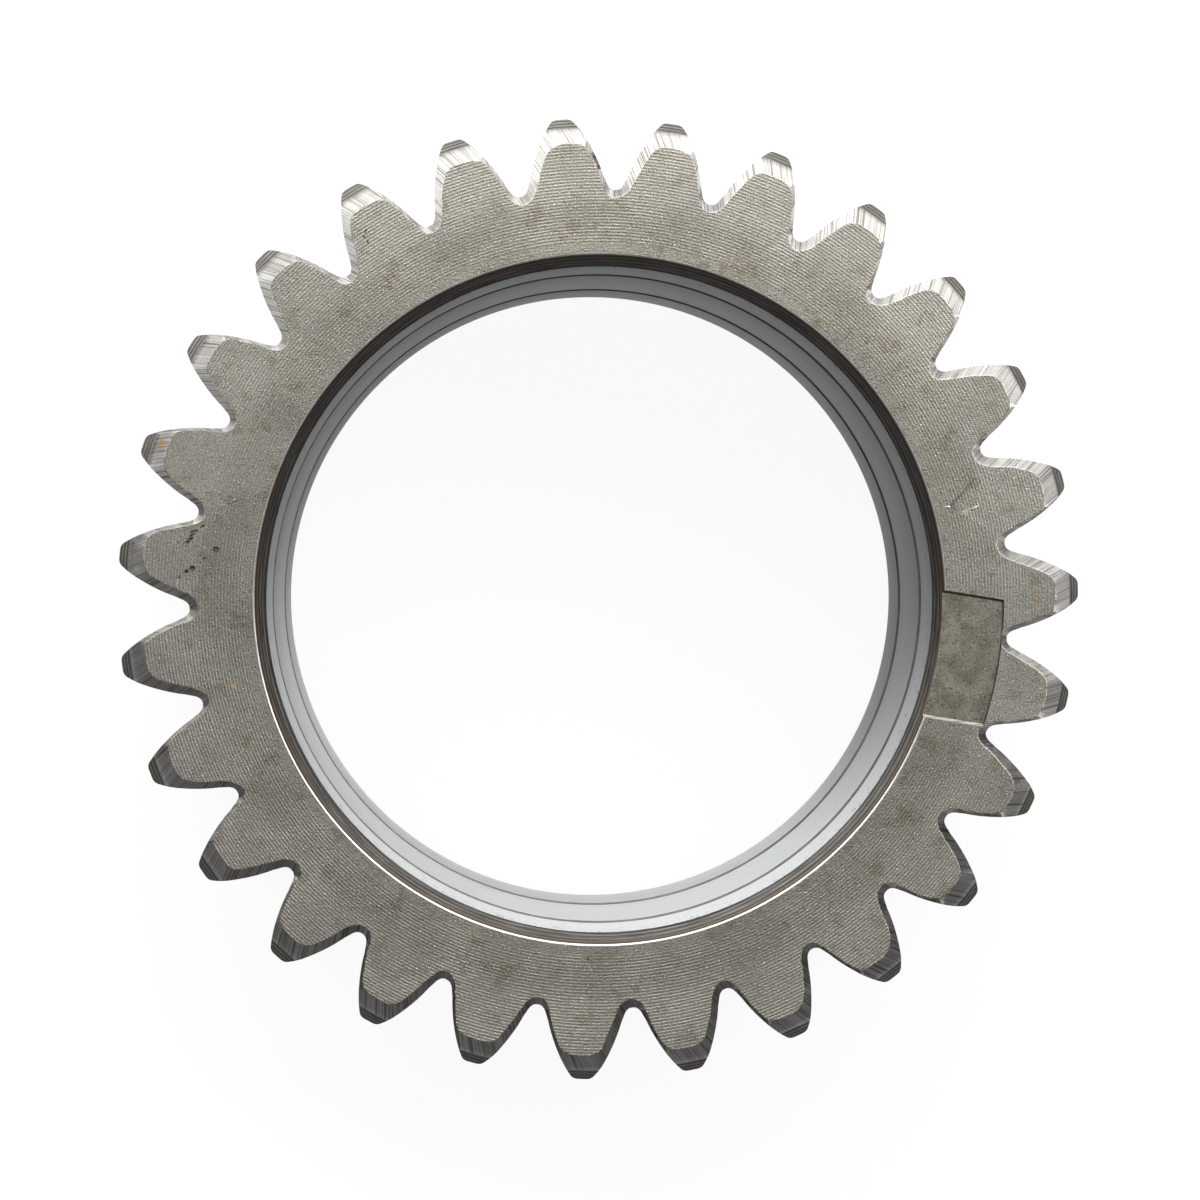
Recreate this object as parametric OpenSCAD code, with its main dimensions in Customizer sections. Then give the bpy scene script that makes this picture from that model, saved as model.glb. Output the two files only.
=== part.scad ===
// Planet gear: a wide spur gear with a plain bearing bore and two retaining-ring grooves.
// The axis is +Z. The rear face lies on z = 0 and one tooth is centred on +X.

/* [Teeth] */
// Number of teeth
teeth = 27; // [25:1:40]
// Module, the reference diameter divided by the number of teeth
gear_module = 3; // [2.75:0.25:5]
// Pressure angle in degrees
pressure_angle = 22.5; // [20:0.5:25]
// Profile shift as a share of the module
profile_shift = 0.6; // [0.3:0.05:0.7]
// Tooth height above the shifted reference circle, as a share of the module
addendum = 0.9; // [0.8:0.05:1]
// Tooth depth below the shifted reference circle, as a share of the module
dedendum = 1.4; // [1.25:0.05:1.45]
// Radius at the foot of a tooth, as a share of the module
root_fillet = 0.3; // [0.1:0.05:0.4]
// Radius on the tip corners of a tooth
tip_round = 0.4; // [0.1:0.05:0.6]

/* [Blank] */
// Length of the teeth, from face to face
face_width = 40; // [28:1:80]
// Radial width of the chamfer between a face and the tooth tips
tip_chamfer = 1.4; // [0.5:0.1:2]
// Radial width of the steep bevel outside that chamfer
tip_bevel = 1.1; // [0.4:0.1:1.6]
// Angle of the steep bevel from the axis
tip_bevel_angle = 30; // [20:1:44]

/* [Tooth ends] */
// Chamfer on the flank that the cutter runs along, at the foot of the tooth
wide_chamfer = 0.7; // [0.3:0.05:0.9]
// The same chamfer at the tip, where the cutter swings round the corner
corner_chamfer = 0.95; // [0.4:0.05:1.1]
// Chamfer on the opposite flank
narrow_chamfer = 0.28; // [0.15:0.01:0.6]
// Chamfer along the bottom of a tooth gap
root_chamfer = 0.65; // [0.3:0.05:0.9]

/* [Bore] */
// Bore diameter, the outside diameter of the bearing
bore_d = 62; // [40:1:64]
// Chamfer at both ends of the bore
bore_chamfer = 1.1; // [0.5:0.1:2]
// Room between the two ring grooves, the width of the bearing
bearing_width = 16; // [8:1:22]
// Width of a ring groove
groove_width = 2.15; // [1.3:0.05:3]
// Depth of a ring groove
groove_depth = 1.5; // [0.5:0.1:2]

/* [Stamped panel] */
// Width of the shallow panel on the front face
panel_width = 11.9; // [6:0.1:16]
// Height of the panel, out from the bore chamfer
panel_height = 5.5; // [3:0.1:6]
// Depth of the panel
panel_depth = 0.25; // [0.1:0.05:0.5]
// Direction of the panel from the tooth on +X, in degrees
panel_angle = -10.4; // [-180:0.1:180]

/* [Hidden] */
$fn = 96;

// Radii of the tooth form
ref_r = gear_module * teeth / 2;
base_r = ref_r * cos(pressure_angle);
tip_r = ref_r + gear_module * (profile_shift + addendum);
root_r = ref_r + gear_module * (profile_shift - dedendum);
pitch_angle = 360 / teeth;

// Turned steps at both ends of the blank
bevel_r = tip_r - tip_bevel;
face_r = bevel_r - tip_chamfer;
bevel_depth = tip_chamfer + tip_bevel / tan(tip_bevel_angle);

// Bore
bore_r = bore_d / 2;
bore_edge_r = bore_r + bore_chamfer;
groove_r = bore_r + groove_depth;
groove_offset = (bearing_width + groove_width) / 2;

// Number of straight steps on a flank, a foot fillet and a tip corner
flank_steps = 6;
fillet_steps = 4;
corner_steps = 2;
// Share of the flank over which its chamfer fades out towards the tip
fade = 0.25;
// Chamfer left at the tip, and how far the tooth form runs past the blank
tip_edge = 0.15;
overrun = 0.2;

deg = 180 / PI;

// Half of the angle that a tooth takes up on the base circle
base_half = 90 / teeth + 2 * profile_shift * tan(pressure_angle) * deg / teeth
    + tan(pressure_angle) * deg - pressure_angle;

function unit(a) = [cos(a), sin(a)];
function blend(a, b, t) = a + (b - a) * t;

// A flank is traced by the end of a taut string unwound from the base circle. For a free length l,
// string_foot is the direction in which it leaves the circle, from the tooth's centre line.
function string_foot(l) = base_half - l / base_r * deg;
function string_end(l, foot) = base_r * unit(foot) + l * unit(foot + 90);

// Free length of the string that reaches a radius
function string_length(r) = sqrt(r * r - base_r * base_r);

// Polar angle of the centre of a foot fillet, and the widest fillet that half a gap can hold
function fillet_angle(f) = string_foot(string_length(root_r + f) - f)
    + atan(string_length(root_r + f) / base_r);
function widest_fillet(low, high, n) = n == 0 ? low
    : fillet_angle((low + high) / 2) < pitch_angle / 2
        ? widest_fillet((low + high) / 2, high, n - 1)
        : widest_fillet(low, (low + high) / 2, n - 1);

// Foot fillet: its radius, where the flank meets it, its centre and the sweep of its arc
fillet_r = min(root_fillet * gear_module, widest_fillet(0, gear_module, 12));
foot_length = string_length(root_r + fillet_r) - fillet_r;
fillet_centre = string_end(foot_length + fillet_r, string_foot(foot_length));
fillet_start = string_foot(foot_length) - 90;
fillet_end = fillet_angle(fillet_r) - 180;

// Tip corner: the same values for the small round on the tip
tip_length = string_length(tip_r - tip_round) + tip_round;
corner_centre = string_end(tip_length - tip_round, string_foot(tip_length));
corner_end = string_foot(tip_length) + 90;
corner_start = atan2(corner_centre[1], corner_centre[0]);

// Points down the left side of the tooth on +X, from past its tip to the bottom of the gap. Each is
// its place, the direction in which it faces, and how far down the tooth it lies.
function corner_point(t) = let (a = blend(corner_start, corner_end, t))
    [corner_centre + tip_round * unit(a), corner_end, 0];
function flank_point(t) = let (l = blend(tip_length, foot_length, t))
    [string_end(l, string_foot(l)), string_foot(l) + 90, t];
function fillet_point(t) = let (a = blend(fillet_start, fillet_end, t))
    [fillet_centre + fillet_r * unit(a), a + 180, 1 + t];

tooth_side = concat(
    [[(tip_r + overrun) * unit(corner_start), corner_end, 0]],
    [for (i = [1 : corner_steps - 1]) corner_point(i / corner_steps)],
    [for (i = [0 : flank_steps]) flank_point(i / flank_steps)],
    [for (i = [1 : fillet_steps]) fillet_point(i / fillet_steps)]
);
side_points = len(tooth_side);

// Chamfer width down the tooth: it fades in from the tip, runs along the flank and round the gap
function cut(t, corner, flank) = t < fade ? blend(tip_edge, corner, t / fade)
    : t < 1 ? blend(corner, flank, (t - fade) / (1 - fade))
    : blend(flank, root_chamfer, t - 1);
function wide(t) = cut(t, corner_chamfer, wide_chamfer);
function narrow(t) = cut(t, narrow_chamfer, narrow_chamfer);

// One tooth from gap to gap, anticlockwise. Each point is its place, the direction in which it faces,
// and its chamfer widths at the front and at the rear, where the cutter takes the other flank.
tooth = concat(
    [for (i = [side_points - 1 : -1 : 0]) let (p = tooth_side[i])
        [[p[0][0], -p[0][1]], -p[1], narrow(p[2]), wide(p[2])]],
    [for (p = tooth_side) [p[0], p[1], wide(p[2]), narrow(p[2])]]
);

function turned(p, a) = [p[0] * cos(a) - p[1] * sin(a), p[0] * sin(a) + p[1] * cos(a)];

// One ring of points round all the teeth: side 2 is the front and 3 the rear, and past is how far the
// ring lies beyond that face. Without past, the ring lies where the chamfer leaves the flank.
function ring(side, past) = [for (k = [0 : teeth - 1]) for (p = tooth)
    let (depth = past > 0 ? -past : p[side])
    let (q = turned(p[0] - (p[side] - depth) * unit(p[1]), k * pitch_angle))
    [q[0], q[1], side == 2 ? face_width - depth : depth]];

// All the teeth as one body with chamfered ends, a little longer and taller than the blank
module toothed_body() {
    n = teeth * len(tooth);
    points = concat(ring(3, overrun), ring(3, 0), ring(2, 0), ring(2, overrun));
    walls = [for (k = [0 : 2]) for (i = [0 : n - 1]) let (a = k * n + i, b = k * n + (i + 1) % n)
        each [[a, a + n, b], [b, a + n, b + n]]];
    ends = [[for (i = [0 : n - 1]) i], [for (i = [n - 1 : -1 : 0]) 3 * n + i]];
    polyhedron(points, concat(walls, ends), convexity = 4);
}

module blank() {
    half = face_width / 2;
    rear_groove = half - groove_offset;
    front_groove = half + groove_offset;
    rotate_extrude() polygon([
        [bore_edge_r, 0],
        [face_r, 0],
        [bevel_r, tip_chamfer],
        [tip_r, bevel_depth],
        [tip_r, face_width - bevel_depth],
        [bevel_r, face_width - tip_chamfer],
        [face_r, face_width],
        [bore_edge_r, face_width],
        [bore_r, face_width - bore_chamfer],
        [bore_r, front_groove + groove_width / 2],
        [groove_r, front_groove + groove_width / 2],
        [groove_r, front_groove - groove_width / 2],
        [bore_r, front_groove - groove_width / 2],
        [bore_r, rear_groove + groove_width / 2],
        [groove_r, rear_groove + groove_width / 2],
        [groove_r, rear_groove - groove_width / 2],
        [bore_r, rear_groove - groove_width / 2],
        [bore_r, bore_chamfer]
    ]);
}

module stamped_panel() {
    rotate(panel_angle) translate([0, 0, face_width - panel_depth]) intersection() {
        cylinder(r = bore_edge_r + panel_height, h = panel_depth + overrun);
        translate([0, -panel_width / 2, 0])
            cube([bore_edge_r + panel_height + overrun, panel_width, panel_depth + overrun]);
    }
}

module planet_gear() {
    color([0.55, 0.54, 0.51]) difference() {
        intersection() {
            toothed_body();
            blank();
        }
        stamped_panel();
    }
}

planet_gear();
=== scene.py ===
from math import atan, atan2, cos, pi, radians, sin, sqrt, tan

import bpy
import numpy as np
from mathutils import Matrix, Vector


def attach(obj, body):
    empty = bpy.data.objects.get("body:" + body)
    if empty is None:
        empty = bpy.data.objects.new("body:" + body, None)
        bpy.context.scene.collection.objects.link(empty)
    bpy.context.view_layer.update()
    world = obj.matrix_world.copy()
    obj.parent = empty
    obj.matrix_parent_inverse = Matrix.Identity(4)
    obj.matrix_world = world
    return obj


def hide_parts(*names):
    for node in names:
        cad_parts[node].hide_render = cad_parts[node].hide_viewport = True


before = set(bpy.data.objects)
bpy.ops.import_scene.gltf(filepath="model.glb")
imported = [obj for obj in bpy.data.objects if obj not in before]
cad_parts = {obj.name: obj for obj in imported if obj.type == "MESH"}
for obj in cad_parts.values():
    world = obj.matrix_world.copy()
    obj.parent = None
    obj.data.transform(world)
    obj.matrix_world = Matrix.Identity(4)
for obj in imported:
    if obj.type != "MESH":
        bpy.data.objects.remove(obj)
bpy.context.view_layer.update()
scene = bpy.context.scene
mm = 0.001


# Camera: it looks straight down on the front face of the gear, a little left of the axis, so that the
# far wall of the bore shows on the right and at the bottom.
camera_place = Vector((-8.634, 3.278, 370.0)) * mm
camera_target = Vector((-0.03, -0.02, 40.0)) * mm
camera_turn = radians(-1.25)

bpy.ops.object.camera_add(location=camera_place)
camera = bpy.context.object
camera.name = "camera"
camera.data.lens = 106.7
camera.data.sensor_width = 36.0
camera.data.clip_start = 0.01
backward = (camera_place - camera_target).normalized()
right = Vector((cos(camera_turn), sin(camera_turn), 0.0))
right = (right - right.dot(backward) * backward).normalized()
upward = backward.cross(right)
camera.matrix_world = Matrix.LocRotScale(
    camera_place, Matrix((right, upward, backward)).transposed(), None)
scene.camera = camera
scene.view_settings.view_transform = "Standard"


# Stage: a plain pale floor under the gear, two wide soft boxes behind it towards +Y, one low and one
# high, a weak one overhead, and a dark card in front, which keeps the near side of the steel dark.
floor_glow = 0.93
world_level = 0.13


def add_node(tree, kind, inputs=None, **settings):
    """A new node with its settings; an input is a value or the socket that feeds it."""
    new = tree.nodes.new(kind)
    for name, value in settings.items():
        setattr(new, name, value)
    for name, value in (inputs or {}).items():
        if isinstance(value, bpy.types.NodeSocket):
            tree.links.new(value, new.inputs[name])
        else:
            new.inputs[name].default_value = value
    return new


def calc(tree, operation, a, b=0.0):
    """The result of one step of arithmetic on numbers or sockets."""
    return add_node(tree, "ShaderNodeMath", {0: a, 1: b}, operation=operation).outputs[0]


def new_material(name):
    """An empty material and its node tree, with the output node ready."""
    material = bpy.data.materials.new(name)
    material.use_nodes = True
    tree = material.node_tree
    tree.nodes.clear()
    return material, tree, add_node(tree, "ShaderNodeOutputMaterial")


bpy.ops.object.select_all(action="DESELECT")
bpy.ops.mesh.primitive_plane_add(size=6.0, location=(0.0, 0.0, 0.0))
floor = bpy.context.object
floor.name = "floor"
material, tree, output = new_material("pale floor")
# What the camera or a reflection sees of the floor is mostly its own even glow, so it looks near white
light_path = add_node(tree, "ShaderNodeLightPath").outputs
seen = calc(tree, "MAXIMUM", light_path["Is Camera Ray"], light_path["Is Glossy Ray"])
seen = calc(tree, "MAXIMUM", seen, light_path["Is Transmission Ray"])
paper = add_node(tree, "ShaderNodeBsdfDiffuse", {"Color": (0.80, 0.80, 0.80, 1.0)}).outputs[0]
glow = add_node(tree, "ShaderNodeEmission", {"Strength": 1.0}).outputs[0]
share = calc(tree, "MULTIPLY", seen, floor_glow)
both = add_node(tree, "ShaderNodeMixShader", {0: share, 1: paper, 2: glow}).outputs[0]
tree.links.new(both, output.inputs["Surface"])
floor.data.materials.append(material)


def soft_box(name, place, target, width, height, level):
    """A rectangular lamp that faces its target, with the brightness that its surface shows."""
    bpy.ops.object.light_add(type="AREA", location=place)
    lamp = bpy.context.object
    lamp.name = name
    lamp.data.shape = "RECTANGLE"
    lamp.data.size = width
    lamp.data.size_y = height
    lamp.data.energy = level * pi * width * height
    lamp.rotation_euler = (Vector(target) - Vector(place)).to_track_quat("-Z", "Y").to_euler()
    lamp.visible_camera = False


soft_box("back soft box", (-0.12, 0.62, 0.27), (0.0, 0.0, 0.05), 2.6, 0.52, 4.8)
soft_box("high soft box", (0.15, 0.50, 0.80), (0.0, 0.0, 0.0), 2.2, 0.5, 6.8)
soft_box("overhead soft box", (0.0, 0.1, 1.2), (0.0, 0.0, 0.0), 1.0, 1.0, 0.6)
bpy.ops.object.select_all(action="DESELECT")
bpy.ops.mesh.primitive_plane_add(size=1.0, location=(0.0, -0.22, 0.25), rotation=(pi / 2, 0.0, 0.0))
card = bpy.context.object
card.name = "dark_card"
card.scale = (1.4, 0.5, 1.0)
bpy.ops.object.transform_apply(location=True, rotation=True, scale=True)
material, tree, output = new_material("dark card")
felt = add_node(tree, "ShaderNodeBsdfDiffuse", {"Color": (0.10, 0.10, 0.10, 1.0)}).outputs[0]
tree.links.new(felt, output.inputs["Surface"])
card.data.materials.append(material)
card.visible_camera = False
world = bpy.data.worlds.new("studio")
world.use_nodes = True
world.node_tree.nodes["Background"].inputs["Color"].default_value = (1.0, 1.0, 1.0, 1.0)
world.node_tree.nodes["Background"].inputs["Strength"].default_value = world_level
scene.world = world


# Teeth: 27 involute teeth cut in the solid steel blank, then deburred. A cutter has run round each end
# and left a wide chamfer on one flank of every tooth and a narrow one on the other.
teeth = 27
pitch_angle = 2 * pi / teeth
face_width = 40.0
ref_r = 40.5
tip_r = 45.0
root_r = 38.1
pressure_angle = radians(22.5)
profile_shift = 0.6
fillet_r = 0.9
tip_round = 0.8
face_r = 42.5
bevel_r = 43.9
bevel_angle = radians(30)
# Chamfer widths: on the wide flank at its foot and its shoulder, on the narrow flank, and in the gap
wide_foot = 0.70
wide_shoulder = 0.92
narrow_flank = 0.28
root_cut = 0.85
# Drop of the chamfers for each millimetre of their width
chamfer_rise = 0.78
# How far the foot of a tooth swells into the gap, and the height over which it does
foot_swell = 0.10
foot_height = 1.4
# Rounding along the edge of the face at the shoulders of a tooth, and of the valley where chamfers meet
shoulder_round = 0.42
valley_round = 0.05
# Radii of the low domes that the two halves of a tooth tip show at the edge of the face
wide_dome = 2.6
narrow_dome = 6.0
# Share by which the chamfers differ from tooth to tooth, and the step in which the edge is smoothed
tooth_spread = 0.10
edge_step = 0.02
# Distances of the extra loops that keep the edge of the face crisp
rim_gaps = (0.10, 0.035)
# Half of the angle that a tooth takes up on the base circle
base_r = ref_r * cos(pressure_angle)
base_half = (pi / 2 + 2 * profile_shift * tan(pressure_angle)) / teeth
base_half += tan(pressure_angle) - pressure_angle


def unit(a):
    """The direction at an angle."""
    return np.array([cos(a), sin(a)])


def string_length(r):
    """A flank is the path of a string's end as it unwinds from the base circle: its length at a radius."""
    return sqrt(r * r - base_r * base_r)


def string_foot(length):
    """The angle at which a string of that length leaves the base circle."""
    return base_half - length / base_r


def string_end(length, foot):
    """The place of the string's end."""
    return base_r * unit(foot) + length * unit(foot + pi / 2)


foot_length = string_length(root_r + fillet_r) - fillet_r
fillet_angle = string_foot(foot_length) + atan(string_length(root_r + fillet_r) / base_r)
fillet_centre = string_end(foot_length + fillet_r, string_foot(foot_length))
tip_length = string_length(tip_r - tip_round) + tip_round
corner_centre = string_end(tip_length - tip_round, string_foot(tip_length))
corner_angle = atan2(corner_centre[1], corner_centre[0])

# Points down the left side of one tooth: place, outward direction, and the share of the way down
side = []
for t in np.linspace(0, 1, 5, endpoint=False):
    side.append((tip_r * unit(corner_angle * t), unit(corner_angle * t), 0.0))
for t in np.linspace(0, 1, 6, endpoint=False):
    a = corner_angle + (string_foot(tip_length) + pi / 2 - corner_angle) * t
    side.append((corner_centre + tip_round * unit(a), unit(a), 0.0))
for t in np.linspace(0, 1, 25, endpoint=False):
    length = tip_length + (foot_length - tip_length) * t
    side.append((string_end(length, string_foot(length)), unit(string_foot(length) + pi / 2), t))
for t in np.linspace(0, 1, 10, endpoint=False):
    a = string_foot(foot_length) - pi / 2 + (fillet_angle - pi / 2 - string_foot(foot_length)) * t
    side.append((fillet_centre + fillet_r * unit(a), -unit(a), 1 + t))
for t in np.linspace(0, 1, 3):
    a = fillet_angle + (pitch_angle / 2 - fillet_angle) * t
    side.append((root_r * unit(a), unit(a), 2.0))

flip = np.array([1, -1])
tooth = [(p * flip, n * flip, down, -1) for p, n, down in side[-2:0:-1]]
tooth += [(p, n, down, 1) for p, n, down in side]
outline, outward, down, hand = [], [], [], []
for k in range(teeth):
    a = k * pitch_angle
    turn = np.array([[cos(a), -sin(a)], [sin(a), cos(a)]])
    for p, n, d, h in tooth:
        outline.append(turn @ p)
        outward.append(turn @ n)
        down.append(d)
        hand.append(h)
outline, outward, down, hand = map(np.array, (outline, outward, down, hand))
count = len(outline)
reach = np.hypot(outline[:, 0], outline[:, 1])
# The hob leaves a little more steel at the foot of a tooth than a plain arc does
foot = np.clip((reach - root_r) / foot_height, 0, 1)
outline += outward * (foot_swell * 6.75 * foot * (1 - foot) ** 2)[:, None]
reach = np.hypot(outline[:, 0], outline[:, 1])
tooth_of = np.arange(count) // len(tooth)
mid_angle = tooth_of * pitch_angle
rel_angle = (np.arctan2(outline[:, 1], outline[:, 0]) - mid_angle + pi) % (2 * pi) - pi
dice = np.random.default_rng(27)


def ripple(n, step, width, size):
    """Smooth noise round a closed line of n points, step apart, with bumps about as long as width."""
    raw = np.fft.rfft(dice.normal(size=n))
    waves = np.fft.rfftfreq(n, step)
    smooth = np.fft.irfft(raw * np.exp(-2 * (pi * waves * width / 2) ** 2), n)
    return size * smooth / smooth.std()


def end_lines(wide_hand):
    """Points round one end of the teeth: the wall's edge, the bevel's edge and the face's edge."""
    per_tooth = 1 + tooth_spread * dice.normal(size=teeth)
    wide = np.interp(down, [0, 1, 2], [wide_shoulder, wide_foot, root_cut])
    narrow = np.interp(down, [0, 1, 2], [narrow_flank, narrow_flank, root_cut])
    width = np.where(hand == wide_hand, wide, narrow) * per_tooth[tooth_of]
    width = width * (1 + ripple(count, 0.3, 1.6, 0.05))
    # Depths below the face: of the turned cone and bevel, and of the chamfer that the cutter left
    cone = np.minimum(reach, bevel_r) * chamfer_rise + np.maximum(0, reach - bevel_r) / tan(bevel_angle)
    cone -= face_r * chamfer_rise
    low = width * chamfer_rise
    depth = np.logaddexp(low / valley_round, cone / valley_round) * valley_round
    depth = np.where(reach > bevel_r - 0.3, np.maximum(cone, low), depth)
    wall = np.column_stack([outline, depth])
    above = reach > bevel_r
    bevel = wall.copy()
    bevel[above, :2] = outline[above] * (bevel_r / reach[above])[:, None]
    bevel[above, 2] = (bevel_r - face_r) * chamfer_rise
    # The edge of the face, which ends on the turned edge and is spread evenly over the tooth tip
    edge = outline - width[:, None] * outward
    edge_r = np.hypot(edge[:, 0], edge[:, 1])
    edge *= np.minimum(1, face_r / edge_r)[:, None]
    for k in range(teeth):
        own = np.flatnonzero((tooth_of == k) & above)
        for h, last in ((-1, own[0] - 1), (1, own[-1] + 1)):
            x, y = edge[last]
            end = (atan2(y, x) - k * pitch_angle + pi) % (2 * pi) - pi
            for i in own[hand[own] == h]:
                edge[i] = face_r * unit(k * pitch_angle + rel_angle[i] / rel_angle[last] * end)
    # It is a low dome across each tooth, and its shoulders are rounded by a soft average along it
    spin = np.arctan2(edge[:, 1], edge[:, 0]) - mid_angle
    across, up = np.hypot(*edge.T) * np.sin(spin), np.hypot(*edge.T) * np.cos(spin)
    up = np.minimum(up, face_r - across ** 2 / 2 / np.where(hand == wide_hand, wide_dome, narrow_dome))
    edge = np.column_stack([up * np.cos(mid_angle) - across * np.sin(mid_angle),
                            up * np.sin(mid_angle) + across * np.cos(mid_angle)])
    closed = np.vstack([edge, edge[:1]])
    run = np.concatenate([[0], np.cumsum(np.hypot(*np.diff(closed, axis=0).T))])
    n = int(run[-1] / edge_step)
    step = run[-1] / n
    even = np.column_stack([np.interp(np.arange(n) * step, run, closed[:, i]) for i in (0, 1)])
    blur = np.exp(-2 * (pi * np.fft.rfftfreq(n, step) * shoulder_round) ** 2)[:, None]
    even = np.fft.irfft(np.fft.rfft(even, axis=0) * blur, n, axis=0)
    along = np.roll(even, -1, axis=0) - np.roll(even, 1, axis=0)
    normal = np.column_stack([along[:, 1], -along[:, 0]]) / np.hypot(along[:, 0], along[:, 1])[:, None]
    # The cutter was led by hand, so the edge wanders a little
    rough = ripple(n, step, 0.3, 0.012) + ripple(n, step, 1.0, 0.022) + ripple(n, step, 4.0, 0.03)
    even = even + rough[:, None] * normal
    closed = np.vstack([even, even[:1]])
    edge = np.column_stack([np.interp(run[:-1], np.arange(n + 1) * step, closed[:, i]) for i in (0, 1)])
    normal = np.column_stack([np.interp(run[:-1], np.arange(n) * step, normal[:, i]) for i in (0, 1)])
    flat = np.zeros(count)
    return wall, bevel, np.column_stack([edge, flat]), -np.column_stack([normal, flat])


def end_rings(wide_hand):
    """Rings from the wall in to the face: the wall's edge, the bevel, the chamfer and a rounded rim."""
    wall, bevel, edge, inward = end_lines(wide_hand)
    slope = edge - bevel
    slope_length = np.linalg.norm(slope, axis=1)[:, None]
    rings = [wall, bevel]
    rings += [bevel + slope * share for share in (0.33, 0.66)]
    rings += [edge - slope / slope_length * gap for gap in rim_gaps]
    rings += [edge + inward * gap for gap in rim_gaps[::-1]]
    return rings


front_rings = [ring * (1, 1, -1) + (0, 0, face_width) for ring in end_rings(1)]
rear_rings = end_rings(-1)

bpy.ops.object.select_all(action="DESELECT")
bpy.ops.mesh.primitive_circle_add(vertices=count, radius=tip_r * mm, fill_type="NOTHING")
gear = bpy.context.object
gear.name = "finished_gear"
# The outline is one closed line, extruded from ring to ring. Each new vertex keeps the number of the
# point of the outline that it came from, which says where it goes
order = gear.data.attributes.new("order", "INT", "POINT")
order.data.foreach_set("value", np.arange(count))
all_rings = rear_rings[::-1] + front_rings
for level, ring in enumerate(all_rings):
    if level:
        bpy.ops.object.mode_set(mode="EDIT")
        bpy.ops.mesh.select_mode(type="EDGE")
        bpy.ops.mesh.extrude_edges_move()
        bpy.ops.object.mode_set(mode="OBJECT")
    mesh = gear.data
    picked = np.zeros(len(mesh.vertices), bool)
    mesh.vertices.foreach_get("select", picked)
    places = np.zeros(len(mesh.vertices), int)
    mesh.attributes["order"].data.foreach_get("value", places)
    coords = np.zeros(len(mesh.vertices) * 3)
    mesh.vertices.foreach_get("co", coords)
    coords = coords.reshape(-1, 3)
    coords[picked] = ring[places[picked]] * mm
    mesh.vertices.foreach_set("co", coords.ravel())
    mesh.update()


# Bore: turned and ground for a ball bearing, with a chamfer at both ends and two grooves for the
# rings that hold the bearing. It is one profile, spun round the axis.
bore_r = 31.0
bore_chamfer = 1.1
groove_r = 32.5
groove_width = 2.15
groove_offset = 9.075
middle_z = face_width / 2
rim_round = 0.24
groove_foot_round = 0.2
edge_round = 0.08
# Radii at which the spun part of the face meets the rest, and of one more loop inside it
spun_r = 33.4
loop_r = 32.6
bore_steps = 720


def round_corner(points, index, radius, steps):
    """Puts a small arc in place of one corner of a profile."""
    p, q, s = (np.array(points[i]) for i in (index - 1, index, index + 1))
    a = (p - q) / np.linalg.norm(p - q)
    b = (s - q) / np.linalg.norm(s - q)
    half = np.arccos(np.clip(a @ b, -1, 1)) / 2
    middle = q + (a + b) / np.linalg.norm(a + b) * radius / sin(half)
    start = q + a * radius / tan(half) - middle
    end = q + b * radius / tan(half) - middle
    swing = np.arccos(np.clip(start @ end / radius ** 2, -1, 1))
    arc = []
    for t in np.linspace(0, 1, steps + 1):
        arc.append(tuple(middle + (sin((1 - t) * swing) * start + sin(t * swing) * end) / sin(swing)))
    return points[:index] + arc + points[index + 1:]


profile = [(spun_r, face_width), (bore_r + bore_chamfer, face_width), (bore_r, face_width - bore_chamfer)]
for centre in (middle_z + groove_offset, middle_z - groove_offset):
    for z in (centre + groove_width / 2, centre - groove_width / 2):
        pair = [(bore_r, z), (groove_r, z)]
        profile += pair if z > centre else pair[::-1]
profile += [(bore_r, bore_chamfer), (bore_r + bore_chamfer, 0.0), (spun_r, 0.0)]
for index in range(len(profile) - 2, 0, -1):
    if index in (1, len(profile) - 2):
        profile = round_corner(profile, index, rim_round, 10)
    elif profile[index][0] == groove_r:
        profile = round_corner(profile, index, groove_foot_round, 2)
    else:
        profile = round_corner(profile, index, edge_round, 2)
profile.insert(1, (loop_r, face_width))
profile.insert(-1, (loop_r, 0.0))

bpy.ops.object.select_all(action="DESELECT")
bpy.ops.mesh.primitive_plane_add(size=1 * mm)
bore = bpy.context.object
bpy.ops.object.mode_set(mode="EDIT")
bpy.ops.mesh.select_mode(type="VERT")
bpy.ops.mesh.merge(type="CENTER")
bpy.ops.transform.translate(value=Vector((profile[0][0], 0.0, profile[0][1])) * mm)
for (x0, z0), (x1, z1) in zip(profile, profile[1:]):
    bpy.ops.mesh.extrude_region_move(TRANSFORM_OT_translate={"value": Vector((x1 - x0, 0, z1 - z0)) * mm})
bpy.ops.mesh.select_all(action="SELECT")
bpy.ops.mesh.spin(steps=bore_steps, angle=2 * pi, center=(0, 0, 0), axis=(0, 0, 1))
bpy.ops.mesh.select_all(action="SELECT")
bpy.ops.mesh.remove_doubles(threshold=0.0005 * mm)
bpy.ops.object.mode_set(mode="OBJECT")


# Faces: both ends of the blank are faced on a lathe. The flat between the teeth and the bore is filled
# in, the front one is stamped with a shallow panel beside the bore, and the body closes.
panel_width = 11.9
panel_depth = 0.25
panel_r = 37.6
panel_angle = radians(-10.4)
# How far the panel's walls lean, across it and outwards, at the bottom and at the top of the stamp
lean_across = (-0.20, 0.49)
lean_out = (-0.10, 0.25)
stamp_inner_r = 30.0

bpy.ops.object.select_all(action="DESELECT")
bore.select_set(True)
gear.select_set(True)
bpy.context.view_layer.objects.active = gear
bpy.ops.object.join()
bpy.ops.object.mode_set(mode="EDIT")
bpy.ops.mesh.select_all(action="SELECT")
bpy.ops.mesh.remove_doubles(threshold=0.002 * mm)
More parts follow.
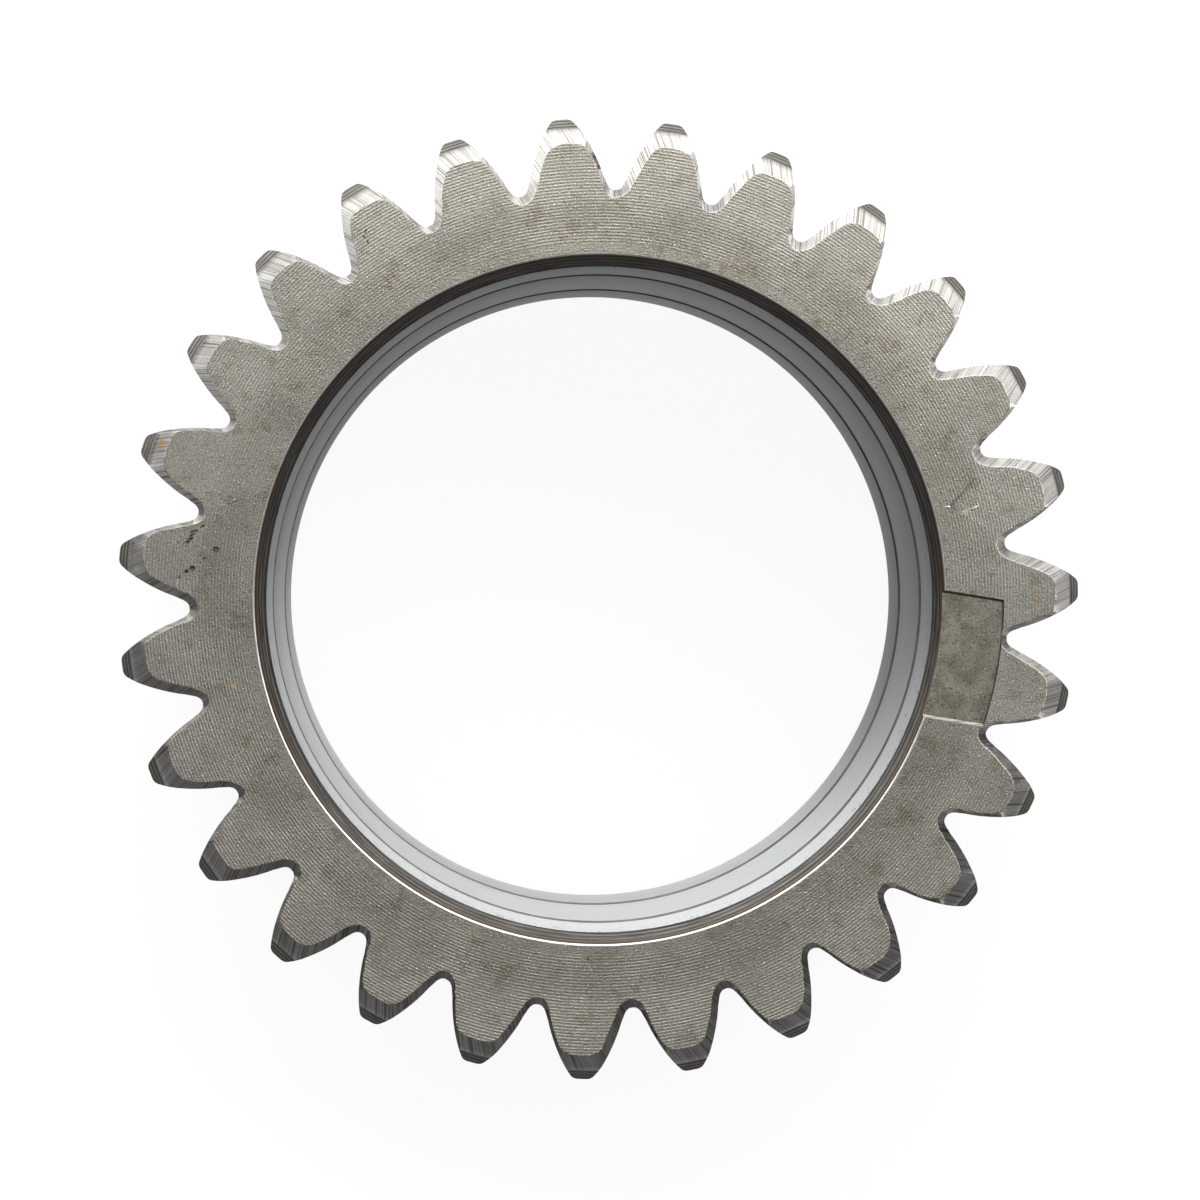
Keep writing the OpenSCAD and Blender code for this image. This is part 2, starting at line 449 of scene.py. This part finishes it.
# Only the open edges that lie on the plane of a face are filled
for z in (0.0, face_width * mm):
    bpy.ops.mesh.select_all(action="DESELECT")
    bpy.ops.mesh.select_mode(type="EDGE")
    bpy.ops.mesh.select_non_manifold(extend=False, use_wire=False, use_multi_face=False,
                                     use_non_contiguous=False, use_verts=False)
    bpy.ops.object.mode_set(mode="OBJECT")
    for edge in gear.data.edges:
        ends = [gear.data.vertices[i].co.z for i in edge.vertices]
        if edge.select and max(abs(e - z) for e in ends) > 0.001 * mm:
            edge.select = False
    bpy.ops.object.mode_set(mode="EDIT")
    bpy.ops.mesh.fill(use_beauty=True)
bpy.ops.mesh.select_all(action="SELECT")
bpy.ops.mesh.normals_make_consistent(inside=False)
bpy.ops.object.mode_set(mode="OBJECT")

bpy.ops.object.select_all(action="DESELECT")
bpy.ops.mesh.primitive_grid_add(x_subdivisions=1, y_subdivisions=24, size=1.0)
stamp = bpy.context.object
stamp.name = "stamp"
bpy.ops.object.mode_set(mode="EDIT")
bpy.ops.mesh.extrude_region_move(TRANSFORM_OT_translate={"value": (0, 0, 1)})
bpy.ops.mesh.select_all(action="SELECT")
bpy.ops.mesh.normals_make_consistent(inside=False)
bpy.ops.object.mode_set(mode="OBJECT")
for vertex in stamp.data.vertices:
    across = vertex.co.y * panel_width
    top = int(vertex.co.z > 0.5)
    across *= 1 + lean_across[top] / panel_width * 2
    outer = sqrt((panel_r + lean_out[top]) ** 2 - across ** 2)
    along = outer if vertex.co.x > 0 else stamp_inner_r
    a = panel_angle
    z = face_width - panel_depth + (panel_depth * 3 if top else 0.0)
    vertex.co = Vector((along * cos(a) - across * sin(a), along * sin(a) + across * cos(a), z)) * mm

# Knocks and scratches on the front face from handling: place, length, width and depth, and direction
dents = [(-35.45, 5.45, 0.62, 0.55, 0.26, 20), (-37.70, 3.75, 0.70, 0.50, 0.28, -15),
         (-38.25, 3.45, 0.45, 0.36, 0.20, 40), (-38.95, 2.90, 0.50, 0.26, 0.10, 70),
         (-38.25, 6.10, 0.75, 0.26, 0.16, 20), (-37.90, 6.45, 0.75, 0.26, 0.16, 12),
         (-37.65, 6.80, 0.70, 0.26, 0.16, 25), (-37.45, 7.15, 0.85, 0.26, 0.16, 15),
         (-36.70, 7.50, 0.62, 0.36, 0.10, 35), (-38.95, 6.10, 0.30, 0.24, 0.10, 0),
         (-36.65, 4.55, 0.60, 0.17, 0.10, 35), (-37.05, 4.25, 0.45, 0.17, 0.10, 20),
         (-34.15, 9.60, 0.55, 0.15, 0.08, 10), (-33.55, 9.80, 0.60, 0.17, 0.09, 25),
         (-32.95, 10.00, 0.40, 0.15, 0.08, 0), (-1.90, -33.40, 0.80, 0.14, 0.08, 80),
         (-0.10, -33.65, 0.30, 0.18, 0.08, 10), (-0.65, -33.40, 0.25, 0.16, 0.08, 40),
         (-21.00, 34.55, 0.50, 0.18, 0.10, 60), (-21.15, 34.05, 0.40, 0.16, 0.10, -60),
         (-20.80, 33.55, 0.40, 0.16, 0.10, -50), (0.50, 41.00, 0.85, 0.45, 0.35, -60),
         (0.75, 40.20, 0.45, 0.25, 0.20, -70)]
dents += [(-35.20 + 0.33 * i, 1.85 - 0.13 * i, 0.14, 0.13, 0.05, 0) for i in range(8)]
scratches = [(32.45, 8.00, 0.75, 0.09, 0.03, 3), (34.65, 7.75, 1.80, 0.10, 0.04, 19)]
cutters = []
for x, y, length, width, depth, direction in dents + scratches:
    bpy.ops.object.select_all(action="DESELECT")
    bpy.ops.mesh.primitive_ico_sphere_add(subdivisions=2, radius=1.0)
    dent = bpy.context.object
    a = radians(direction)
    for vertex in dent.data.vertices:
        p = vertex.co * (1 + 0.12 * dice.normal()) * 0.5
        u, v = p.x * length, p.y * width
        place = (x + u * cos(a) - v * sin(a), y + u * sin(a) + v * cos(a), face_width + p.z * 2 * depth)
        vertex.co = Vector(place) * mm
    cutters.append(dent)
bpy.ops.object.select_all(action="DESELECT")
for dent in cutters:
    dent.select_set(True)
bpy.context.view_layer.objects.active = cutters[0]
bpy.ops.object.join()

# The knocks overlap one another, so they join the stamp first, which then cuts the gear once
for body, operation, tool in ((stamp, "UNION", cutters[0]), (gear, "DIFFERENCE", stamp)):
    cut = body.modifiers.new("cut", "BOOLEAN")
    cut.operation = operation
    cut.object = tool
    cut.solver = "EXACT"
    cut.use_self = body == stamp
    bpy.ops.object.select_all(action="DESELECT")
    body.select_set(True)
    bpy.context.view_layer.objects.active = body
    bpy.ops.object.modifier_apply(modifier=cut.name)
    bpy.data.objects.remove(tool)
if "order" in gear.data.attributes:
    gear.data.attributes.remove(gear.data.attributes["order"])
bpy.ops.object.shade_smooth_by_angle(angle=radians(32))


# Steel: one bare alloy steel all over. Each surface keeps the marks of the tool that made it last: rings
# from the lathe, strokes from the deburring cutter, a satin bore from grinding, and a few knocks and
# rust spots from storage.
def noise(tree, place, scale, detail=2.0):
    """A grey noise between 0 and 1, read at a place."""
    inputs = {"Vector": place, "Scale": scale, "Detail": detail, "Roughness": 0.55}
    return add_node(tree, "ShaderNodeTexNoise", inputs).outputs[0]


def ramp(tree, value, low, high, start=0.0, end=1.0):
    """Turns the part of a value between low and high into start to end, with soft ends."""
    inputs = {0: value, 1: low, 2: high, 3: start, 4: end}
    return add_node(tree, "ShaderNodeMapRange", inputs, interpolation_type="SMOOTHSTEP").outputs[0]


def vector(tree, operation, a, b=(0.0, 0.0, 0.0)):
    """The result of one step of arithmetic on places."""
    new = add_node(tree, "ShaderNodeVectorMath", {0: a, 1: b}, operation=operation)
    return new.outputs[1 if operation in ("LENGTH", "DISTANCE") else 0]


def blend(tree, factor, a, b):
    """A colour between two others."""
    new = add_node(tree, "ShaderNodeMix", data_type="RGBA")
    for index, value in ((0, factor), (6, a), (7, b)):
        if isinstance(value, bpy.types.NodeSocket):
            tree.links.new(value, new.inputs[index])
        else:
            new.inputs[index].default_value = value if index == 0 else (*value, 1.0)
    return new.outputs[2]


def total(tree, *terms):
    """The sum of several values, each a socket with its share."""
    result = calc(tree, "MULTIPLY", *terms[0])
    for value, share in terms[1:]:
        result = calc(tree, "ADD", result, calc(tree, "MULTIPLY", value, share))
    return result


class Steel:
    """A bare metal being made: its nodes, and the places that its patterns read, in millimetres.

    Turn is the direction of its finest marks as a share of a full turn, edge its brightness at a
    grazing angle, and lean the slant of its strokes.
    """

    def __init__(self, name, roughness, anisotropy=0.0, turn=0.25, edge=1.0, lean=0.0):
        self.material, self.tree, output = new_material(name)
        tree = self.tree
        self.metal = add_node(tree, "ShaderNodeBsdfPrincipled", {
            "Metallic": 1.0, "Roughness": roughness, "Anisotropic": anisotropy,
            "Anisotropic Rotation": turn, "Specular Tint": (edge, edge, edge, 1.0)})
        tree.links.new(self.metal.outputs[0], output.inputs["Surface"])
        tangent = add_node(tree, "ShaderNodeTangent", direction_type="RADIAL", axis="Z")
        tree.links.new(tangent.outputs[0], self.metal.inputs["Tangent"])
        here = add_node(tree, "ShaderNodeTexCoord").outputs["Object"]
        self.place = vector(tree, "MULTIPLY", here, (1000.0, 1000.0, 1000.0))
        flat = vector(tree, "MULTIPLY", self.place, (1.0, 1.0, 0.0))
        self.radius = vector(tree, "LENGTH", flat)
        twist = total(tree, (self.radius, -tan(lean) / face_r), (1.0, tan(lean)))
        inputs = {"Vector": vector(tree, "NORMALIZE", flat), "Angle": twist}
        self.way = add_node(tree, "ShaderNodeVectorRotate", inputs, rotation_type="Z_AXIS").outputs[0]
        self.height = add_node(tree, "ShaderNodeSeparateXYZ", {0: self.place}).outputs[2]
        gear.data.materials.append(self.material)

    def polar(self, around, out, up=0.0):
        """A place that runs round, out and up at different rates, for marks that follow the turning."""
        tree = self.tree
        rise = total(tree, (self.radius, out), (self.height, up))
        lift = add_node(tree, "ShaderNodeCombineXYZ", {2: rise}).outputs[0]
        return vector(tree, "ADD", vector(tree, "MULTIPLY", self.way, (around, around, 0.0)), lift)

    def rings(self, pitch, wander=0.0):
        """Turned grooves at an even pitch out from the axis, from 0 to 1."""
        tree = self.tree
        phase = total(tree, (self.radius, 2 * pi / pitch), (wander, 1.0))
        return total(tree, (calc(tree, "SINE", phase), 0.5), (1.0, 0.5))

    def finish(self, colour, height, depth):
        """Joins the colour, and the relief with its depth in millimetres, to the metal."""
        tree = self.tree
        tree.links.new(colour, self.metal.inputs["Base Color"])
        inputs = {"Strength": 1.0, "Distance": depth * mm, "Height": height}
        bump = add_node(tree, "ShaderNodeBump", inputs)
        tree.links.new(bump.outputs[0], self.metal.inputs["Normal"])


def spot(steel, x, y, size, drop=0.0):
    """A ragged spot on the front, a little below the face, 1 at its middle and 0 outside."""
    tree = steel.tree
    away = vector(tree, "DISTANCE", steel.place, (x, y, face_width - drop))
    ragged = total(tree, (noise(tree, steel.place, 1.6 / size, 4.0), 1.6 * size), (away, 1.0))
    return ramp(tree, ragged, 1.4 * size, 0.8 * size)


# The turned faces: fine rings 0.29 mm apart, dull and mottled, with dark and bright specks and a few
# small spots of rust
face_steel = Steel("turned face", 0.45, 0.25)
tree = face_steel.tree
patchy = noise(tree, face_steel.place, 0.16, 5.0)
stain = noise(tree, face_steel.place, 0.45, 4.0)
wander = calc(tree, "MULTIPLY", noise(tree, face_steel.polar(3.0, 0.5), 1.0), 2.0)
rings = face_steel.rings(0.292, wander)
streaks = noise(tree, face_steel.polar(55.0, 5.0), 1.0, 3.0)
grain = noise(tree, face_steel.place, 5.5, 3.0)
fine = noise(tree, face_steel.place, 7.0, 1.0)
near_bore = ramp(tree, face_steel.radius, 32.9, 33.5)
ring_depth = calc(tree, "MULTIPLY", ramp(tree, patchy, 0.3, 0.6, 0.6, 1.0), near_bore)
cut_rings = calc(tree, "MULTIPLY", rings, ring_depth)
relief = total(tree, (cut_rings, 1.3), (streaks, 2.4), (grain, 2.8), (fine, 1.0))
tone = blend(tree, ramp(tree, patchy, 0.3, 0.7), (0.150, 0.142, 0.121), (0.195, 0.185, 0.158))
tone = blend(tree, ramp(tree, stain, 0.46, 0.34, 0.0, 0.50), tone, (0.100, 0.082, 0.057))
tone = blend(tree, ramp(tree, rings, 0.5, 0.0, 0.0, 0.25), tone, (0.05, 0.045, 0.036))
tone = blend(tree, ramp(tree, grain, 0.45, 0.36, 0.0, 0.65), tone, (0.04, 0.035, 0.028))
tone = blend(tree, ramp(tree, fine, 0.67, 0.73, 0.0, 0.6), tone, (0.70, 0.69, 0.64))
tone = blend(tree, ramp(tree, face_steel.radius, 35.5, 38.0, 0.0, 0.05), tone, (0.70, 0.69, 0.64))
for x, y, size, share, rust in (
        (-34.05, -7.20, 0.45, 0.85, (0.50, 0.24, 0.08)), (-19.50, 32.70, 0.65, 0.60, (0.14, 0.11, 0.05)),
        (39.70, 0.55, 0.40, 0.80, (0.30, 0.18, 0.05)), (40.60, -1.20, 1.30, 0.35, (0.20, 0.13, 0.06)),
        (-20.90, 34.30, 0.60, 0.30, (0.08, 0.07, 0.05)), (37.30, 2.60, 0.90, 0.30, (0.08, 0.07, 0.06))):
    tone = blend(tree, calc(tree, "MULTIPLY", spot(face_steel, x, y, size), share), tone, rust)
face_steel.finish(tone, relief, 0.010)

# The chamfers round the tooth ends: fine strokes side by side, running out from the axis at a lean.
# The narrow ones were cut as the tool left the tooth, and are duller.
for name, roughness, lean, dark, light in (
        ("cut chamfer", 0.50, radians(25), (0.32, 0.310, 0.290), (0.41, 0.402, 0.386)),
        ("narrow chamfer", 0.55, 0.0, (0.19, 0.184, 0.173), (0.27, 0.264, 0.253))):
    chamfer_steel = Steel(name, roughness, 0.95, turn=lean / 2 / pi, lean=lean)
    tree = chamfer_steel.tree
    strokes = noise(tree, chamfer_steel.polar(300.0, 0.30, 0.30), 1.0, 2.0)
    broad = noise(tree, chamfer_steel.polar(70.0, 0.2, 0.2), 1.0, 2.0)
    grain = noise(tree, chamfer_steel.place, 6.0, 3.0)
    relief = total(tree, (strokes, 1.0), (broad, 0.5), (grain, 0.35))
    tone = blend(tree, ramp(tree, broad, 0.3, 0.7), dark, light)
    tone = blend(tree, ramp(tree, strokes, 0.48, 0.38, 0.0, 0.70), tone, (0.08, 0.072, 0.064))
    tone = blend(tree, ramp(tree, grain, 0.36, 0.28, 0.0, 0.6), tone, (0.06, 0.05, 0.04))
    # painted shade: the chamfers darken towards the root, in the gap between the teeth
    gap_shade = ramp(tree, chamfer_steel.radius, 39.6, 38.8, 0.0, 0.25)
    tone = blend(tree, gap_shade, tone, (0.08, 0.072, 0.064))
    tone = blend(tree, spot(chamfer_steel, -40.40, 15.30, 0.9, 0.5), tone, (0.36, 0.20, 0.07))
    chamfer_steel.finish(tone, relief, 0.009)

# The steep bevel outside them: turned with a fine feed, and given a dark tone that is painted shade,
# standing in for the darker surroundings it reflects
bevel_steel = Steel("turned bevel", 0.60, 0.75, edge=0.6)
tree = bevel_steel.tree
rings = bevel_steel.rings(0.34)
streaks = noise(tree, bevel_steel.polar(20.0, 9.0), 1.0, 3.0)
relief = total(tree, (rings, 2.4), (streaks, 1.2))
# painted shade: the bevel's tone is kept dark all round
tone = blend(tree, ramp(tree, streaks, 0.35, 0.65), (0.112, 0.106, 0.096), (0.180, 0.170, 0.156))
tone = blend(tree, ramp(tree, rings, 0.5, 0.0, 0.0, 0.8), tone, (0.02, 0.018, 0.016))
bevel_steel.finish(tone, relief, 0.012)

# The tooth flanks: smooth from grinding, with faint marks along the teeth
flank_steel = Steel("tooth flank", 0.33)
tree = flank_steel.tree
along = vector(tree, "MULTIPLY", flank_steel.place, (5.0, 5.0, 0.12))
marks = noise(tree, along, 1.0, 3.0)
cloud = noise(tree, flank_steel.place, 0.35, 3.0)
tone = blend(tree, ramp(tree, cloud, 0.3, 0.7), (0.27, 0.26, 0.24), (0.36, 0.35, 0.33))
tone = blend(tree, ramp(tree, marks, 0.42, 0.3, 0.0, 0.5), tone, (0.16, 0.15, 0.14))
flank_steel.finish(tone, marks, 0.006)

# The bore: ground to a satin finish for the bearing, with a few dark specks near its ends
bore_steel = Steel("ground bore", 0.55, 0.9, edge=0.5)
tree = bore_steel.tree
streaks = noise(tree, bore_steel.polar(8.0, 0.0, 6.0), 1.0, 3.0)
specks = noise(tree, bore_steel.place, 2.2, 1.0)
front_end = ramp(tree, bore_steel.height, 30.0, 38.0)
tone = blend(tree, ramp(tree, streaks, 0.3, 0.7), (0.305, 0.311, 0.314), (0.350, 0.357, 0.361))
specks = calc(tree, "MULTIPLY", ramp(tree, specks, 0.355, 0.315, 0.0, 0.8), front_end)
tone = blend(tree, specks, tone, (0.04, 0.036, 0.032))
bore_steel.finish(tone, streaks, 0.003)

# The bore chamfers: turned with a coarse feed, darker than the face
rim_steel = Steel("bore chamfer", 0.5, 0.5)
tree = rim_steel.tree
wander = calc(tree, "MULTIPLY", noise(tree, rim_steel.polar(0.8, 2.2), 1.0), 9.0)
rings = rim_steel.rings(0.28, wander)
streaks = noise(tree, rim_steel.polar(9.0, 8.0), 1.0, 3.0)
scores = noise(tree, rim_steel.polar(1.5, 7.0), 1.0, 2.0)
relief = total(tree, (rings, 1.2), (streaks, 0.8), (scores, 4.0))
tone = blend(tree, ramp(tree, streaks, 0.35, 0.65), (0.060, 0.056, 0.052), (0.110, 0.103, 0.095))
tone = blend(tree, ramp(tree, rim_steel.radius, 31.66, 31.80), tone, (0.085, 0.067, 0.052))
tone = blend(tree, ramp(tree, rings, 0.6, 0.2, 0.0, 0.5), tone, (0.012, 0.011, 0.010))
rim_steel.finish(tone, relief, 0.015)

# The rounded outer edge of that chamfer: rubbed smooth and bright
wire_steel = Steel("bore edge", 0.30, 0.3)
tree = wire_steel.tree
streaks = noise(tree, wire_steel.polar(30.0, 9.0), 1.0, 3.0)
tone = blend(tree, ramp(tree, streaks, 0.3, 0.7), (0.35, 0.35, 0.35), (0.48, 0.48, 0.48))
wire_steel.finish(tone, streaks, 0.002)

# Painted shade in the recesses: the narrow grooves for the bearing's rings, the walls of the stamped panel
# and the walls of the knocks are nearly black, mottled a little
recess_shade_steel = Steel("ring groove", 0.5)
tree = recess_shade_steel.tree
shade_mottle = noise(tree, recess_shade_steel.polar(10.0, 3.0, 3.0), 1.0, 3.0)
recess_shade_steel.finish(blend(tree, shade_mottle, (0.05, 0.045, 0.04), (0.16, 0.15, 0.135)), shade_mottle, 0.01)

# The stamped panel: pressed, not cut, so it has no rings, only a dull grain
panel_steel = Steel("stamped panel", 0.6)
tree = panel_steel.tree
grain = noise(tree, panel_steel.place, 4.5, 4.0)
cloud = noise(tree, panel_steel.place, 0.6, 3.0)
tone = blend(tree, ramp(tree, cloud, 0.3, 0.7), (0.092, 0.085, 0.068), (0.148, 0.138, 0.114))
tone = blend(tree, ramp(tree, grain, 0.46, 0.36, 0.0, 0.7), tone, (0.04, 0.034, 0.028))
tone = blend(tree, ramp(tree, grain, 0.64, 0.72, 0.0, 0.5), tone, (0.40, 0.39, 0.36))
panel_steel.finish(tone, grain, 0.03)

# Each facet gets the finish of the tool that cut it, or painted shade where it lies in a recess, by its
# place in millimetres and its direction.
# Sunk means in the panel, and a swing below 0 means on the side of a tooth with the narrow chamfer
tiny = 1e-4
between_r = 33.0
coords = np.zeros(len(gear.data.polygons) * 3)
gear.data.polygons.foreach_get("center", coords)
x, y, z = coords.reshape(-1, 3).T / mm
gear.data.polygons.foreach_get("normal", coords)
facing = coords.reshape(-1, 3)
flat = np.abs(facing[:, 2])
level = flat > 0.95
r = np.hypot(x, y)
outward = (facing[:, 0] * x + facing[:, 1] * y) / r / np.maximum(np.hypot(facing[:, 0], facing[:, 1]), 1e-6)
depth = np.minimum(z, face_width - z)
bore_side = (r < bore_r + bore_chamfer + rim_round) & (depth > tiny) & ~((flat > 0.9999) & (depth < 1))
sunk = (depth > tiny) & (z > face_width - panel_depth - 0.01) & (r < panel_r + 0.15)
sunk &= np.abs(y * cos(panel_angle) - x * sin(panel_angle)) < panel_width / 2 + 0.15
sunk &= x > 0
dented, scratched = np.zeros((2, len(x)), bool)
for marks, where in ((dents, dented), (scratches, scratched)):
    for mark_x, mark_y, length, *rest in marks:
        where |= (np.hypot(x - mark_x, y - mark_y) < length * 0.65) & (z > face_width - 0.5)
swing = np.arctan2(y, x) % pitch_angle
swing = np.where(swing > pitch_angle / 2, swing - pitch_angle, swing) * np.where(z > middle_z, 1, -1)
finishes = [
    (bore_side & (flat > 0.72) & (depth < 0.3), "bore edge"),
    (bore_side & (depth < bore_chamfer), "bore chamfer"),
    (bore_side & (r < bore_r + 0.05), "ground bore"),
    # painted shade in the grooves for the bearing's rings
    (bore_side, "ring groove"),
    (sunk & level, "stamped panel"),
    # painted shade on the walls of the stamped panel
    (sunk & (flat < 0.6), "ring groove"),
    # painted shade on the walls of the knocks
    (dented & (depth > 0.03) & (flat < 0.98), "ring groove"),
    (scratched & (depth > tiny), "bore edge"),
    (dented | scratched, "turned face"),
    # painted shade on the flat side walls of the grooves for the bearing's rings
    (level & (depth > 1), "ring groove"),
    (level, "turned face"),
    ((flat < 0.2) & (r > between_r), "tooth flank"),
    # painted shade on what is left inside the edge of the face
    (r < between_r, "ring groove"),
    ((r > bevel_r) & (depth > (bevel_r - face_r) * chamfer_rise - 0.02), "turned bevel"),
    ((swing < 0) & (outward < 0.7) & (r > root_r + 0.25) & (depth < 0.8), "narrow chamfer"),
    (r > between_r, "cut chamfer")]
slots = [material.name for material in gear.data.materials]
picked = np.select([where for where, name in finishes], [slots.index(name) for where, name in finishes])
gear.data.polygons.foreach_set("material_index", picked)

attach(gear, "root")
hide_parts("planet_gear")
